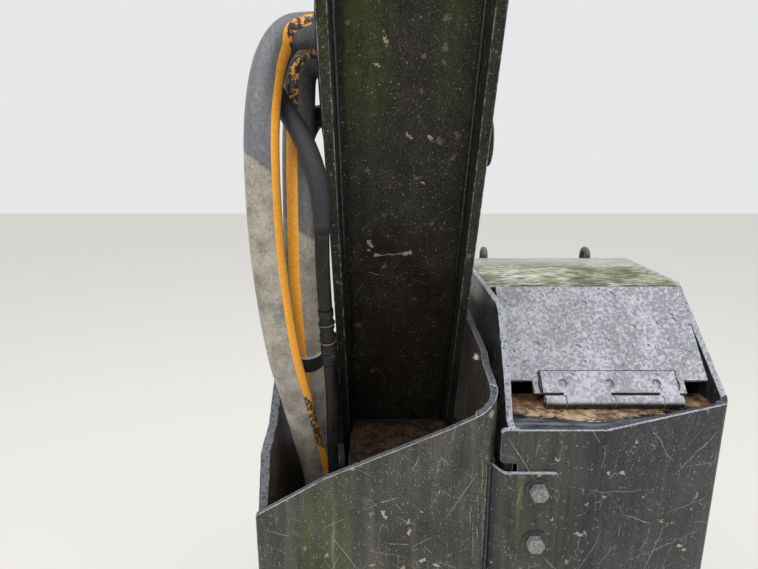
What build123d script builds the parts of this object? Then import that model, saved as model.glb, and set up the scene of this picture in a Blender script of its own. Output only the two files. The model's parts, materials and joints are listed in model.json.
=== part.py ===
from build123d import *
import math
import os

# Rear lift tower of a tracked loader, right-hand side, as it stands with the loader arms down.
# X points outboard, +Y to the front of the machine, +Z up. The origin is on the underside of
# the weld foot, below the middle of the lift link. Lengths are in millimetres.

# Clearances
seat_gap = 0.3            # between pieces that rest on or in each other
pin_gap = 0.08            # radial, where a pin turns in its bore
swing_gap = 3.0           # beside the link's hubs

# Weld foot and tower plates
foot_length, foot_width, foot_plate = 540, 320, 16
foot_centre_x = -34
tower_rear, tower_front = -250, 250
inboard_face, outboard_face = -177, 109
inboard_plate, wrap_plate, front_plate = 12, 8, 10
wrap_bend = 28
wrap_rear_low, wrap_rear_high = 622, 750      # top of the rear face, inboard end and start of the bend
wrap_leg_low, wrap_leg_high = 775, 802        # top of the outboard wall, end of the bend and front
walls_top_front, walls_shoulder = (165, 800), 560
front_plate_top = 400
cheek_high_x, cheek_top = -97, 700       # beside the hoses, the front plate climbs on along the walls

# Pocket floor beside the hoses, with a tongue between the link's side plates
floor_plate, floor_top = 10, 600
floor_inboard_x, floor_front_y = -75, -12
tongue_half_width, tongue_front_y = 66, 35

# Lift link
link_width, link_side, link_web, link_front = 180, 12, 10, 10
link_lean = 25            # degrees, top towards the rear when the arms are down
link_length = 950         # between pin centres
link_depth_mid, link_end_radius = 150, 60
link_taper_low, link_taper_high = 190, 130    # from the lower and the upper pin to the full depth
web_recess = 45           # from the rear edges to the web
pivot_y, pivot_z = 145, 440
hub_radius = 48
lower_pin_radius, upper_bore_radius = 22, 20
web_end_gap = 70          # from a pin centre to the web's end
boss_radius = 44
pin_overhang, pin_end_outboard = 14, 8
flag_length, flag_width, flag_plate, flag_corner = 95, 84, 10, 12
pad_radius, pad_plate, pad_along, pad_across = 28, 6, 690, 33    # round pad on the outboard plate

# Hose entry in the link's inboard plate, measured from its upper pin and from its rear edge
entry_below_pin, entry_across = 192, 93
entry_length, entry_width = 164, 84
grommet_lip, grommet_lip_plate = 9, 6

# Outboard box
box_inboard_x, box_wall_x, box_fold_x, box_outboard_x = 110.5, 120, 231, 413
box_fold_y, box_front_y = -181, 157
box_plate = 8
box_bottom, box_rim, box_top = 300, 733, 853
box_bend = 13
notch_x, notch_top, notch_corner, tab_corner = 131, 692, 5, 6
spacer_radius, spacer_places = 16, ((-190, 350), (-190, 620), (90, 350), (90, 700))
slope_low_y, slope_low_z = -148, 750
slope_high_y = -50
lip_length = 26

# Lid and its hinge
lid_plate, lid_inset, lid_side_gap = 5, 9, 3
lid_tab_low, lid_tab_high = 171, 370
hinge_below, hinge_proud = 29.5, 4    # axis below the lid's low edge and out from its face
hinge_x_low = 182
knuckle_lengths = (26, 62, 62, 26)    # first and third on the fixed leaf
knuckle_radius, hinge_pin_radius, hinge_pin_end = 8, 4, 2
hinge_leaf, hinge_leaf_high, hinge_leaf_low = 4, 12, -17.5
hinge_hole_radius, hinge_hole_pitch, hinge_hole_along = 6, 61, -5
knuckle_gap = 1.0
knuckle_rise = 1.5        # of the knuckles over the trough

# Drain trough below the hinge
trough_sheet, trough_front_y, trough_flange = 5, -126, 20
fixed_leaf_front_y = -130

# Fixing strip and its bolts
strip_right, strip_bottom, strip_top, strip_plate = 180, 480, 681, 6
strip_bend, strip_corner, strip_ear = 10, 7, 12
bolt_x, bolt_top, bolt_pitch, bolt_count = 155, 660, 69, 3
bolt_shank, bolt_hole, bolt_length = 6, 7, 24
washer_radius, washer_plate = 15, 2.5
bolt_head_flats, bolt_head_height = 19, 7.5
nut_height = 10

# Filler under the lid
filler_x, filler_y = 272, -20
filler_radius, filler_wall, filler_top = 42, 4, 742
cap_radius, cap_height, cap_grips, cap_grip_radius = 52, 34, 12, 7
shelf_top, shelf_plate, shelf_rear_y = 560, 5, -134

# Staple loops at the front edge of the box
loop_rod, loop_reach, loop_above, loop_below, loop_bend = 5, 33, 12, 50, 13
loop_xs = (161, 346)

# Hose bulkhead
bracket_top, bracket_plate = 410, 10
bracket_y_low, bracket_y_high, bracket_x_high = -200, 24, -60
fitting_height, fitting_hex_height, fitting_grow, fitting_collar = 70, 24, 4, 2

# Hoses: node, outside radius, and the route from the bulkhead to the link
hose_start_z = bracket_top + fitting_height
hose_end_x = -link_width / 2 - grommet_lip_plate - seat_gap
hoses = [
    # name, radius, route points
    ("hose_main", 19, [(-116, -104, hose_start_z), (-116, -104, 540), (-118, -120, 600),
                       (-124, -143, 655), (-130, -165, 706), (-135, -186, 754), (-141, -202, 794),
                       (-146, -210, 835), (-150, -215, 880), (-153.5, -219, 931), (-155, -219, 978),
                       (-156, -215, 1023), (-156.5, -207, 1061), (-155, -195, 1096),
                       (-151, -182, 1128), (-143, -170, 1153), (-129, -165, 1170),
                       (-110, -165, 1172), (hose_end_x, -165, 1172)]),
    ("hose_second", 19, [(-113, -52, hose_start_z), (-113, -52, 540), (-115, -70, 597),
                         (-117, -93, 648), (-118, -115, 699), (-119, -141, 750),
                         (-120, -162, 800), (-121, -177, 847), (-122, -186, 897),
                         (-122, -184, 949), (-123, -172, 998), (-124.5, -155, 1042),
                         (-125, -137, 1078), (-125.5, -122, 1107), (-124.7, -115, 1130.6),
                         (-118.7, -115, 1141), (-108.3, -115, 1147), (hose_end_x, -115, 1147)]),
    ("hose_third", 14, [(-114, -4, hose_start_z), (-114, -4, 540), (-114, -14, 600),
                        (-114, -36, 660), (-114, -66, 715), (-116, -98, 775), (-119, -122, 840),
                        (-123, -126, 905), (-128, -114, 962), (-131, -100, 1010),
                        (-130, -90, 1044), (-125, -88, 1064), (-116, -93, 1079),
                        (-107, -97, 1085), (hose_end_x, -97, 1085)]),
    ("hose_sleeved", 11, [(-91.3, -233, 957), (-91, -234.5, 979.5), (-92.5, -232.5, 1002),
                          (-98, -225, 1026), (-108, -209, 1049), (-121, -188.5, 1070),
                          (-138, -164.5, 1091), (-153, -142, 1114), (-159, -127, 1138),
                          (-154, -117, 1159), (-142, -117, 1176), (-128, -125, 1182),
                          (-112, -128, 1182), (hose_end_x, -128, 1182)]),
    ("hose_bare", 8, [(-91, -217, 868), (-91.43, -223, 892), (-91.8, -228.5, 918),
                      (-91.6, -231.5, 934.5), (-91.3, -233, 957)]),
    ("hose_lower", 7, [(-88, -168, hose_start_z), (-88, -168, 540), (-90, -166.5, 610),
                       (-90.8, -171, 668), (-89.5, -180, 724), (-89.2, -191.8, 767.2),
                       (-90, -203, 812)]),
]
coupling_radius, coupling_ribs, coupling_rib_depth = 9, 3, 1

out = {}


def yz_plate(x_low, thickness, outline):
    face = make_face(Polyline(*outline, close=True))
    return extrude(Plane.YZ.offset(x_low) * face, amount=thickness)


def xz_plate(y_low, thickness, outline):
    face = make_face(Polyline(*outline, close=True))
    return extrude(Plane.XZ.offset(-y_low - thickness) * face, amount=thickness)


def level_plate(outline, z_low, thickness):
    return Pos(0, 0, z_low) * extrude(make_face(Polyline(*outline, close=True)), amount=thickness)


def box_between(low, high):
    size = [b - a for a, b in zip(low, high)]
    middle = [(a + b) / 2 for a, b in zip(low, high)]
    return Pos(*middle) * Box(*size)


def x_cylinder(radius, x_low, x_high, y, z):
    return Pos((x_low + x_high) / 2, y, z) * Rot(0, 90, 0) * Cylinder(radius, x_high - x_low)


def y_cylinder(radius, y_low, y_high, x, z):
    return Pos(x, (y_low + y_high) / 2, z) * Rot(90, 0, 0) * Cylinder(radius, y_high - y_low)


def joined(solids):
    """One shape holding all the given solids."""
    whole = solids[0]
    for solid in solids[1:]:
        whole += solid
    return whole


def folded_plate(corners, thickness, bend, z_low, z_high):
    """A plate stood on edge, bent along the outside line; the thickness goes to its left."""
    with BuildSketch() as sketch:
        with BuildLine():
            FilletPolyline(*corners, radius=bend)
            offset(amount=thickness, side=Side.LEFT)
        make_face()
    return Pos(0, 0, z_low) * extrude(sketch.sketch, amount=z_high - z_low)


def link_point(along, across):
    """The (y, z) of a point given along the link from its lower pin and across from its rear edge."""
    lean = math.radians(link_lean)
    forward = across - link_end_radius
    return (pivot_y - along * math.sin(lean) + forward * math.cos(lean),
            pivot_z + along * math.cos(lean) + forward * math.sin(lean))


def link_plate(x_low, thickness, along_low, along_high, across_low, across_high):
    corners = [(along_low, across_low), (along_high, across_low),
               (along_high, across_high), (along_low, across_high)]
    return yz_plate(x_low, thickness, [link_point(*corner) for corner in corners])


def tube_along(points, radius):
    """Straight runs joined by arcs, each as large as its two runs allow."""
    vectors = [Vector(*point) for point in points]
    runs = [b - a for a, b in zip(vectors, vectors[1:])]
    radii = []
    for before, after in zip(runs, runs[1:]):
        half_turn = math.radians(before.get_angle(after)) / 2
        radii.append(0.45 * min(before.length, after.length) / math.tan(half_turn))
    path = FilletPolyline(*points, radius=radii)
    tube = sweep(Plane(origin=path @ 0, z_dir=path % 0) * Circle(radius), path=path)
    share = tube.volume / (math.pi * radius ** 2 * path.length)
    print("  arcs", [round(r) for r in radii], "length", round(path.length), "volume share", round(share, 3))
    return tube


# Weld foot and tower plates
out["foot_plate"] = box_between((foot_centre_x - foot_width / 2, -foot_length / 2, 0),
                                (foot_centre_x + foot_width / 2, foot_length / 2, foot_plate))

inner_rear = tower_rear + wrap_plate
inner_front = tower_front - front_plate
inner_left = inboard_face + inboard_plate
inner_right = outboard_face - wrap_plate
link_left, link_right = -link_width / 2, link_width / 2

inboard_outline = [(inner_rear, foot_plate), (inner_front, foot_plate), (inner_front, walls_shoulder),
                   walls_top_front, (20, 800), (-90, 740), (-150, 690), (-205, 680), (inner_rear, 600)]
inboard_wall = yz_plate(inboard_face, inboard_plate, inboard_outline)
inboard_wall += x_cylinder(boss_radius, inner_left, link_left - swing_gap, pivot_y, pivot_z)
inboard_wall -= x_cylinder(lower_pin_radius + seat_gap, inboard_face - 1, link_left, pivot_y, pivot_z)
out["inboard_wall"] = inboard_wall

# Rear face and outboard wall of the pocket, folded from one plate. Its top edge climbs along the
# rear face, through the bend and on to the front
wrap_blank_top = 840
bend_x, bend_y = outboard_face - wrap_bend, tower_rear + wrap_bend
wrap = folded_plate([(inboard_face, tower_rear), (outboard_face, tower_rear),
                     (outboard_face, tower_front)], wrap_plate, wrap_bend, foot_plate, wrap_blank_top)
rear_top = [(inboard_face - 1, wrap_rear_low - 1), (-92, 672), (49, 734), (bend_x, wrap_rear_high)]
wrap -= xz_plate(tower_rear - 1, wrap_plate + 2,
                 [(inboard_face - 1, wrap_blank_top + 1)] + rear_top + [(bend_x, wrap_blank_top + 1)])
leg_top = [(bend_y, wrap_leg_low), (-171, 782), (-152, 793), (17, wrap_leg_high), walls_top_front,
           (tower_front, walls_shoulder), (tower_front + 1, walls_shoulder)]
wrap -= yz_plate(inner_right - 1, wrap_plate + 2,
                 [(bend_y, wrap_blank_top + 1)] + leg_top + [(tower_front + 1, wrap_blank_top + 1)])
bend_run = wrap_bend * math.sqrt(2)
bend_plane = Plane(origin=(bend_x, tower_rear, 0), x_dir=(1, 1, 0), z_dir=(1, -1, 0))
bend_top = make_face(Polyline((0, wrap_rear_high), (bend_run, wrap_leg_low), (bend_run, wrap_blank_top + 1),
                              (0, wrap_blank_top + 1), close=True))
wrap -= extrude(bend_plane * bend_top, amount=wrap_bend, both=True)
wrap += x_cylinder(boss_radius, link_right + swing_gap, inner_right, pivot_y, pivot_z)
wrap -= x_cylinder(lower_pin_radius + seat_gap, link_right, outboard_face + 1, pivot_y, pivot_z)
out["wrap_plate"] = wrap

cheek_top_y = tower_front - (tower_front - walls_top_front[0]) * (
    (cheek_top - walls_shoulder) / (walls_top_front[1] - walls_shoulder))
cheek = yz_plate(inner_left, cheek_high_x - inner_left,
                 [(inner_front, front_plate_top - 1), (tower_front, front_plate_top - 1),
                  (tower_front, walls_shoulder), (cheek_top_y, cheek_top),
                  (cheek_top_y - front_plate, cheek_top), (inner_front, walls_shoulder)])
out["front_plate"] = cheek + box_between((inboard_face, inner_front, foot_plate),
                                         (inner_right, tower_front, front_plate_top))
floor_outline = [(floor_inboard_x, inner_rear), (inner_right, inner_rear), (inner_right, floor_front_y),
                 (tongue_half_width, floor_front_y), (tongue_half_width, tongue_front_y),
                 (-tongue_half_width, tongue_front_y), (-tongue_half_width, floor_front_y),
                 (floor_inboard_x, floor_front_y)]
pocket_floor = level_plate(floor_outline, floor_top - floor_plate, floor_plate)
corner_edge = pocket_floor.edges().filter_by(Axis.Z).group_by(Axis.Y)[0].sort_by(Axis.X)[-1]
out["pocket_floor"] = fillet(corner_edge, wrap_bend)

# Pin through both walls and the link, with its retaining flag inboard
out["pivot_pin"] = x_cylinder(lower_pin_radius, inboard_face - pin_overhang,
                              outboard_face + pin_end_outboard, pivot_y, pivot_z)
flag = yz_plate(inboard_face - flag_plate, flag_plate,
                [(pivot_y + side * flag_width / 2, pivot_z + height)
                 for side, height in ((-1, -flag_width / 2), (1, -flag_width / 2),
                                      (1, flag_length), (-1, flag_length))])
flag = fillet(flag.edges().filter_by(Axis.X), flag_corner)
flag -= x_cylinder(lower_pin_radius + seat_gap, inboard_face - flag_plate - 1, inboard_face + 1, pivot_y, pivot_z)
out["pin_flag"] = flag


# Lift link
def link_side_plate(x_low):
    taper_end = link_length - link_taper_high
    outline = [link_point(0, 0), link_point(link_length, 0),
               link_point(link_length, 2 * link_end_radius),
               link_point(taper_end, link_depth_mid), link_point(link_taper_low, link_depth_mid),
               link_point(0, 2 * link_end_radius)]
    plate = yz_plate(x_low, link_side, outline)
    for along in (0, link_length):
        y, z = link_point(along, link_end_radius)
        plate += x_cylinder(link_end_radius, x_low, x_low + link_side, y, z)
    plate -= x_cylinder(lower_pin_radius + pin_gap, x_low - 1, x_low + link_side + 1, pivot_y, pivot_z)
    y, z = link_point(link_length, link_end_radius)
    plate -= x_cylinder(upper_bore_radius, x_low - 1, x_low + link_side + 1, y, z)
    return plate


def entry_solid(grow, x_low, thickness):
    lean = math.radians(link_lean)
    y, z = link_point(link_length - entry_below_pin, entry_across)
    slot = SlotOverall(entry_length + 2 * grow, entry_width + 2 * grow)
    plane = Plane(origin=(x_low, y, z), x_dir=(0, -math.sin(lean), math.cos(lean)), z_dir=(1, 0, 0))
    return extrude(plane * slot, amount=thickness)


out["link_side_inboard"] = link_side_plate(link_left) - entry_solid(0, link_left - 1, link_side + 2)
pad_y, pad_z = link_point(pad_along, pad_across)
pad = x_cylinder(pad_radius, link_right - 1, link_right + pad_plate, pad_y, pad_z)
out["link_side_outboard"] = link_side_plate(link_right - link_side) + pad
web_inside = (link_left + link_side, link_width - 2 * link_side)
out["link_web"] = link_plate(*web_inside, web_end_gap, link_length - web_end_gap,
                             web_recess, web_recess + link_web)
out["link_front_plate"] = link_plate(*web_inside, link_taper_low, link_length - link_taper_high,
                                     link_depth_mid - link_front, link_depth_mid)
for name, along, bore in (("link_lower_hub", 0, lower_pin_radius + pin_gap),
                          ("link_upper_hub", link_length, upper_bore_radius)):
    y, z = link_point(along, link_end_radius)
    hub = x_cylinder(hub_radius, link_left + link_side, link_right - link_side, y, z)
    out[name] = hub - x_cylinder(bore, link_left, link_right, y, z)
grommet = entry_solid(grommet_lip, link_left - grommet_lip_plate, grommet_lip_plate)
grommet += entry_solid(-seat_gap, link_left - 1, link_side)
out["hose_grommet"] = grommet

# Outboard box: rear, fold and outboard wall from one plate, with a tab left over at its rear top
wall_slope = [(box_fold_y, box_rim), (-34, box_top - 4), (-28, box_top), (box_front_y + 1, box_top)]
shell_blank_top = box_top + 20
shell = folded_plate([(box_inboard_x, tower_rear), (box_fold_x, tower_rear),
                      (box_outboard_x, box_fold_y), (box_outboard_x, box_front_y)],
                     box_plate, box_bend, box_bottom, shell_blank_top)
shell -= box_between((box_inboard_x - 1, tower_rear - 1, box_rim),
                     (box_outboard_x + 1, box_fold_y + 2, shell_blank_top + 1))
shell -= yz_plate(box_inboard_x, box_outboard_x - box_inboard_x + 1,
                  [(box_fold_y, shell_blank_top + 1)] + wall_slope + [(box_front_y + 1, shell_blank_top + 1)])
shell -= box_between((box_inboard_x - 1, tower_rear - 1, box_bottom - 1),
                     (notch_x, tower_rear + box_plate + 1, notch_top))
notch_edges = shell.edges().filter_by(Axis.Y).group_by(Axis.X)[1]
shell = fillet(notch_edges.sort_by(Axis.Z)[-1], notch_corner)
shell = fillet(shell.edges().filter_by(Axis.Y).group_by(Axis.X)[0], tab_corner)
bolt_heights = [bolt_top - index * bolt_pitch for index in range(bolt_count)]
for height in bolt_heights:
    shell -= y_cylinder(bolt_hole, tower_rear - 1, tower_rear + box_plate + 1, bolt_x, height)
out["box_shell"] = shell

# Spacers between the tower and the box
out["box_spacers"] = joined([x_cylinder(spacer_radius, outboard_face, box_wall_x, y, z)
                             for y, z in spacer_places])

box_rear, box_front = tower_rear + box_plate, box_front_y - box_plate
inboard_box_outline = [(box_rear, box_bottom), (box_front, box_bottom), (box_front, box_top),
                       (-140, box_top), (-152, box_top - 5), (-205, 779), (-228, box_rim + 4),
                       (box_rear, box_rim)]
out["box_inboard_wall"] = yz_plate(box_wall_x, box_plate, inboard_box_outline)
box_left, box_right = box_wall_x + box_plate, box_outboard_x - box_plate
box_clear_width = box_right - box_left
out["box_front_plate"] = box_between((box_wall_x, box_front, box_bottom), (box_right, box_front_y, box_top))
out["box_floor"] = level_plate([(box_left, box_rear), (box_fold_x - 1, box_rear),
                                (box_right, box_fold_y + box_plate + 3), (box_right, box_front),
                                (box_left, box_front)], box_bottom, box_plate) - shell

slope = math.atan2(box_top - slope_low_z, slope_high_y - slope_low_y)
slope_dir = (math.cos(slope), math.sin(slope))
slope_out = (-math.sin(slope), math.cos(slope))
slope_length = math.hypot(box_top - slope_low_z, slope_high_y - slope_low_y)
lip_face = -lid_plate - seat_gap


def slope_point(along, out_by):
    """(y, z) on the lid's slope: along it upwards from the low edge, and outwards from its outer face."""
    return (slope_low_y + along * slope_dir[0] + out_by * slope_out[0],
            slope_low_z + along * slope_dir[1] + out_by * slope_out[1])


def slope_along(z, out_by):
    """How far up the slope a line parallel to it reaches the height z."""
    return (z - slope_low_z - out_by * slope_out[1]) / slope_dir[1]


def slope_strip(x_low, x_high, along_low, along_high, out_low, out_high):
    outline = [slope_point(along_low, out_low), slope_point(along_low, out_high),
               slope_point(along_high, out_high), slope_point(along_high, out_low)]
    return yz_plate(x_low, x_high - x_low, outline)


# Top plate, folded down under the lid's upper edge, with a relief at the fold's inboard end
top_under = box_top - box_plate
lip_back = lip_face - box_plate
top_outline = [slope_point(slope_along(box_top, lip_face), lip_face), (box_front, box_top),
               (box_front, top_under), slope_point(slope_along(top_under, lip_back), lip_back),
               slope_point(slope_length - lip_length, lip_back),
               slope_point(slope_length - lip_length, lip_face)]
relief = slope_strip(box_left - 1, box_left + lid_inset, slope_length - lip_length - 1,
                     slope_length + 1, lip_back - 1, 1)
out["box_top_plate"] = yz_plate(box_left, box_clear_width, top_outline) - relief

# Lid, with a tab under the moving leaf that is welded on its outer face
lid = slope_strip(box_left + lid_inset, box_right - lid_side_gap, 0, slope_length, -lid_plate, 0)
lid += slope_strip(lid_tab_low, lid_tab_high, hinge_leaf_low, 1, -lid_plate, 0)
out["lid_plate"] = lid

hinge_y, hinge_z = slope_point(-hinge_below, hinge_proud)
hinge_x_high = hinge_x_low + sum(knuckle_lengths)
knuckle_ends = [hinge_x_low + sum(knuckle_lengths[:index]) for index in range(len(knuckle_lengths) + 1)]


def knuckle_spans(first):
    """Low and high X of every second knuckle from the given one."""
    return [(knuckle_ends[index] + knuckle_gap / 2, knuckle_ends[index + 1] - knuckle_gap / 2)
            for index in range(first, len(knuckle_lengths), 2)]


moving_leaf = slope_strip(hinge_x_low, hinge_x_high, hinge_leaf_low, hinge_leaf_high, 0, hinge_leaf)
for low, high in knuckle_spans(1):
    moving_leaf += x_cylinder(knuckle_radius, low, high, hinge_y, hinge_z)
    moving_leaf += slope_strip(low, high, -hinge_below, hinge_leaf_low, 0, hinge_leaf)
hole_y, hole_z = slope_point(hinge_hole_along, 0)
for place in (-1, 0, 1):
    hole = Rot(math.degrees(slope), 0, 0) * Cylinder(hinge_hole_radius, 2 * hinge_leaf + 1)
    moving_leaf -= Pos((hinge_x_low + hinge_x_high) / 2 + place * hinge_hole_pitch, hole_y, hole_z) * hole
bore = x_cylinder(hinge_pin_radius + pin_gap, hinge_x_low - 1, hinge_x_high + 1, hinge_y, hinge_z)
out["lid_hinge_leaf"] = moving_leaf - bore

# Drain trough just below the knuckles, with the fixed leaf lying on it
trough_top = hinge_z - knuckle_radius - knuckle_rise
trough_under = trough_top - trough_sheet
trough = yz_plate(box_left, box_clear_width,
                  [(box_rear, trough_top), (box_rear, trough_under),
                   (trough_front_y - trough_sheet, trough_under),
                   (trough_front_y - trough_sheet, trough_top - trough_flange),
                   (trough_front_y, trough_top - trough_flange), (trough_front_y, trough_top)])
trough -= shell
out["trough_plate"] = trough.solids().sort_by(SortBy.VOLUME)[-1]

leaf_low, leaf_high = trough_top + seat_gap, trough_top + seat_gap + hinge_leaf
leaf_rear = hinge_y + knuckle_radius + knuckle_gap
fixed_leaf = box_between((hinge_x_low, leaf_rear, leaf_low), (hinge_x_high, fixed_leaf_front_y, leaf_high))
for low, high in knuckle_spans(0):
    fixed_leaf += x_cylinder(knuckle_radius, low, high, hinge_y, hinge_z)
    fixed_leaf += box_between((low, hinge_y, leaf_low), (high, leaf_rear + 1, leaf_high))
out["fixed_hinge_leaf"] = fixed_leaf - bore
out["hinge_pin"] = x_cylinder(hinge_pin_radius, hinge_x_low - hinge_pin_end, hinge_x_high + hinge_pin_end,
                              hinge_y, hinge_z)

# Fixing strip: welded to the tower's bend, folded flat over the box's rear face and bolted to it
strip_rear = tower_rear - strip_plate
strip_fold_x = outboard_face + strip_plate
ear_reach = (wrap_bend + seat_gap) / math.sqrt(2)
strip = folded_plate([(bend_x + ear_reach, bend_y - ear_reach), (strip_fold_x, strip_rear),
                      (strip_right, strip_rear)], strip_plate, strip_bend, strip_bottom, strip_top + strip_ear)
strip -= xz_plate(strip_rear - 1, 3 * strip_plate,
                  [(bend_x, strip_top + strip_ear), (strip_fold_x, strip_top), (strip_right + 1, strip_top),
                   (strip_right + 1, strip_top + strip_ear + 1), (bend_x, strip_top + strip_ear + 1)])
right_edges = strip.edges().filter_by(Axis.Y).group_by(Axis.X)[-1]
strip = fillet(right_edges.sort_by(Axis.Z)[-1], strip_corner)
bolts = []
hexagon = RegularPolygon(bolt_head_flats / 2, 6, major_radius=False)
for height in bolt_heights:
    strip -= y_cylinder(bolt_hole, strip_rear - 1, tower_rear + 1, bolt_x, height)
    head = extrude(Plane.XZ.offset(-strip_rear + washer_plate) * Pos(bolt_x, height) * hexagon,
                   amount=bolt_head_height)
    washer = y_cylinder(washer_radius, strip_rear - washer_plate, strip_rear, bolt_x, height)
    shank = y_cylinder(bolt_shank, strip_rear - washer_plate, strip_rear + bolt_length, bolt_x, height)
    nut = extrude(Plane.XZ.offset(-box_rear) * Pos(bolt_x, height) * hexagon, amount=-nut_height)
    bolts.append(head + washer + shank + nut)
out["fixing_strip"] = strip
out["strip_bolts"] = joined(bolts)

# Shelf, filler neck and cap under the lid
out["filler_shelf"] = box_between((box_left, shelf_rear_y, shelf_top - shelf_plate),
                                  (box_right, box_front, shelf_top))
neck_height = filler_top - shelf_top
out["filler_neck"] = Pos(filler_x, filler_y, shelf_top + neck_height / 2) * (
    Cylinder(filler_radius, neck_height) - Cylinder(filler_radius - filler_wall, neck_height))
cap_centre = (filler_x, filler_y, filler_top + seat_gap + cap_height / 2)
cap = Pos(*cap_centre) * Cylinder(cap_radius, cap_height)
cap = fillet(cap.edges().group_by(Axis.Z)[-1], 5)
with BuildPart() as grip_cuts:
    with Locations(cap_centre):
        with PolarLocations(cap_radius + 3, cap_grips):
            Cylinder(cap_grip_radius, cap_height + 2)
out["filler_cap"] = cap - grip_cuts.part

# Staple loops welded to the box's front edge
loops = []
near_leg, far_leg = box_front_y + seat_gap + loop_rod, box_front_y + loop_reach
for x in loop_xs:
    path = FilletPolyline((x, box_front_y, box_top - loop_below), (x, far_leg, box_top - loop_below),
                          (x, far_leg, box_top + loop_above), (x, near_leg, box_top + loop_above),
                          (x, near_leg, box_top - loop_below / 2), radius=loop_bend)
    loops.append(sweep(Plane(origin=path @ 0, z_dir=path % 0) * Circle(loop_rod), path=path))
out["staple_loops"] = joined(loops)

# Bulkhead with a crimped fitting below each hose
out["hose_bracket"] = box_between((inner_left, bracket_y_low, bracket_top - bracket_plate),
                                  (bracket_x_high, bracket_y_high, bracket_top))
fittings = []
for name, radius, route in hoses:
    if route[0][2] == hose_start_z:
        x, y = route[0][:2]
        nut = extrude(Pos(x, y) * RegularPolygon(radius + fitting_grow, 6), amount=fitting_hex_height)
        ferrule = Pos(x, y, fitting_height / 2) * Cylinder(radius + fitting_collar, fitting_height)
        fittings.append(Pos(0, 0, bracket_top) * (nut + ferrule))
out["hose_fittings"] = joined(fittings)

for name, radius, route in hoses:
    print(name)
    out[name] = tube_along(route, radius)

# Ribbed coupling between the lower hose and the bare end below the sleeve
route_of = {name: route for name, radius, route in hoses}
low_end, high_end = Vector(*route_of["hose_lower"][-1]), Vector(*route_of["hose_bare"][0])
axis = high_end - low_end
rib_pitch = axis.length / (2 * coupling_ribs + 1)
profile = [(0, 0)]
for index in range(2 * coupling_ribs + 1):
    reach = coupling_radius - (coupling_rib_depth if index % 2 else 0)
    profile += [(reach, index * rib_pitch), (reach, (index + 1) * rib_pitch)]
profile.append((0, axis.length))
coupling = revolve(Plane.XZ * make_face(Polyline(*profile, close=True)), Axis.Z)
out["sleeve_coupling"] = Plane(origin=low_end, z_dir=axis) * coupling

os.makedirs("parts", exist_ok=True)
for name, shape in out.items():
    export_step(shape, f"parts/{name}.step")
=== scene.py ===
import json
import random
import bpy
import bmesh
from math import atan2, cos, hypot, pi, radians, sin, sqrt
from mathutils import Matrix, Vector, noise


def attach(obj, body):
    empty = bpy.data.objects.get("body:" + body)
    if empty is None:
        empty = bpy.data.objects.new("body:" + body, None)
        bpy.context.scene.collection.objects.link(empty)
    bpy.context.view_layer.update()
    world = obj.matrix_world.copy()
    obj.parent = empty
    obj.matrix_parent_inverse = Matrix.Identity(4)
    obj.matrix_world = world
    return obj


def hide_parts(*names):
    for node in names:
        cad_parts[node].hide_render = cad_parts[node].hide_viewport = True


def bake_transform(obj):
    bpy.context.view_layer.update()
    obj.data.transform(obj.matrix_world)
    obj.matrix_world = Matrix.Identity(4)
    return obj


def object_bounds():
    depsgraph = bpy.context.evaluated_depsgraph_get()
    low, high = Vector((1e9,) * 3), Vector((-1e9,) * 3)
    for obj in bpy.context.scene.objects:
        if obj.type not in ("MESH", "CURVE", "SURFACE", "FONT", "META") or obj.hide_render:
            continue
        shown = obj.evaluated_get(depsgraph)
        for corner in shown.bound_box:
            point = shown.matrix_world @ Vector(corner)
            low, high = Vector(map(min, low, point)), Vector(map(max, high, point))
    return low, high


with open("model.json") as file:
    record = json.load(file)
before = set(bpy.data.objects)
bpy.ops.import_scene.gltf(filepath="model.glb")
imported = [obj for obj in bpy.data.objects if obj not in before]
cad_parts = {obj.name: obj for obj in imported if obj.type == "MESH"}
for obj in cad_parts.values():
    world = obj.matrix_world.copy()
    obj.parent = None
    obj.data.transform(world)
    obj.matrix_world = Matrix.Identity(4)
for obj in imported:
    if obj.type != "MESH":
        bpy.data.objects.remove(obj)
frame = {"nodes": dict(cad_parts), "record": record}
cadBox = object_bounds()
scene = bpy.context.scene
mm = 0.001


# Colours and nodes. What goes into a node is another's output as (node, output), a colour as "#rrggbb"
# or a plain value.

def hexToLinear(hexCode):
    channels = [int(hexCode[i:i + 2], 16) / 255 for i in (1, 3, 5)]
    return [c / 12.92 if c <= 0.04045 else ((c + 0.055) / 1.055) ** 2.4 for c in channels] + [1.0]


def isOutput(value):
    return isinstance(value, tuple) and isinstance(value[0], bpy.types.Node)


def feed(socket, value):
    if isOutput(value):
        socket.id_data.links.new(value[0].outputs[value[1]], socket)
    else:
        socket.default_value = hexToLinear(value) if isinstance(value, str) else value


def addNode(kind, settings, tree=None):
    # settings: an attribute by name, or an input by name or number; the tree is the one its inputs come from
    tree = tree or next(value[0].id_data for value in settings.values() if isOutput(value))
    node = tree.nodes.new(kind)
    for key, value in settings.items():
        if isinstance(key, str) and hasattr(node, key):
            setattr(node, key, value)
        else:
            feed(node.inputs[key], value)
    return node


def addRamp(value, stops):
    ramp = addNode("ShaderNodeValToRGB", {0: value})
    elements = ramp.color_ramp.elements
    while len(elements) < len(stops):
        elements.new(0.5)
    for element, (place, color) in zip(elements, stops):
        element.position = place
        element.color = hexToLinear(color) if isinstance(color, str) else (color, color, color, 1)
    return ramp, 0


def mathNode(operation, *values, clamp=False):
    return addNode("ShaderNodeMath", {"operation": operation, "use_clamp": clamp, **dict(enumerate(values))}), 0


def times(first, *others):
    for other in others:
        first = mathNode("MULTIPLY", first, other)
    return first


def timesPlus(value, factor, added):
    return mathNode("MULTIPLY_ADD", value, factor, added)


def below(value, limit):
    return mathNode("LESS_THAN", value, limit)


def above(value, limit):
    return mathNode("GREATER_THAN", value, limit)


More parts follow.
